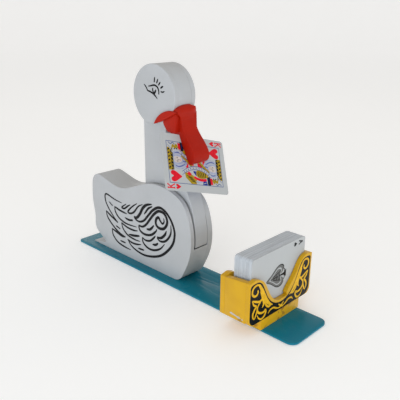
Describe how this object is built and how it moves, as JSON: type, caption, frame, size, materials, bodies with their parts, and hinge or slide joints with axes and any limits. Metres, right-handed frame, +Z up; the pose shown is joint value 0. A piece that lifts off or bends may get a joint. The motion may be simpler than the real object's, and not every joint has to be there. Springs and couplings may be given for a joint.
{
  "type": "card-picking duck desk toy",
  "caption": "Painted wooden duck on a long thin base whose neck dips forward through its chest to pick a playing card from a holder and hold it up in its bill.",
  "frame": {"origin": "middle of the base's underside", "axes": "+Z up, +X from the tail towards the card holder, +Y across to the duck's left side"},
  "size_m": [0.356, 0.1056, 0.2475],
  "materials": {
    "base_paint": "glossy teal enamel on sheet steel",
    "white_paint": "satin white brushed paint on wood",
    "raw_wood": "unpainted wood inside the body",
    "red_paint": "gloss red-orange paint on wood",
    "yellow_paint": "gloss yellow paint on wood, with small chips",
    "black_paint": "gloss black paint with yellow scroll lines on wood",
    "card": "coated playing-card stock",
    "steel": "plain steel",
    "nylon": "natural nylon",
    "rubber": "black rubber strip"
  },
  "bodies": {
    "stand": {"base_plate": "base_paint", "base_screws": "steel", "body_panel_near": "white_paint", "body_panel_far": "white_paint", "tail_block": "white_paint", "belly_block": "raw_wood", "chest_block": "white_paint", "rest_stop": "rubber", "neck_axle": "steel", "axle_washers": "nylon", "neck_spring": "steel", "card_pack": "card", "front_card": "card", "holder_front": "black_paint", "holder_back": "yellow_paint", "holder_side_near": "yellow_paint", "holder_side_far": "yellow_paint", "holder_floor": "yellow_paint", "holder_foot": "yellow_paint"},
    "neck": {"neck_board": "white_paint", "head_cheek_near": "white_paint", "head_cheek_far": "white_paint", "bill_upper": "red_paint", "bill_cheek_near": "red_paint", "bill_cheek_far": "red_paint", "bill_wedge_near": "red_paint", "bill_wedge_far": "red_paint", "jaw_pin": "steel"},
    "jaw": {"bill_lower": "red_paint"},
    "picked_card": {"picked_card": "card"}
  },
  "joints": [
    {"name": "neck_dip", "type": "hinge", "parent": "stand", "child": "neck", "pos_m": [0, 0, 0.022], "axis": [0, 1, 0], "range_deg": [0, 51], "stiffness_Nm_per_rad": 0.2, "springref_deg": -11.46},
    {"name": "jaw_open", "type": "hinge", "parent": "neck", "child": "jaw", "pos_m": [-0.00904, 0, 0.18394], "axis": [0, 1, 0], "range_deg": [0, 4], "stiffness_Nm_per_rad": 0.03, "springref_deg": -8.59},
    {"name": "card_pull", "type": "slide", "parent": "neck", "child": "picked_card", "axis": [0.471, 0, -0.8821], "range_m": [0, 0.04]}
  ]
}
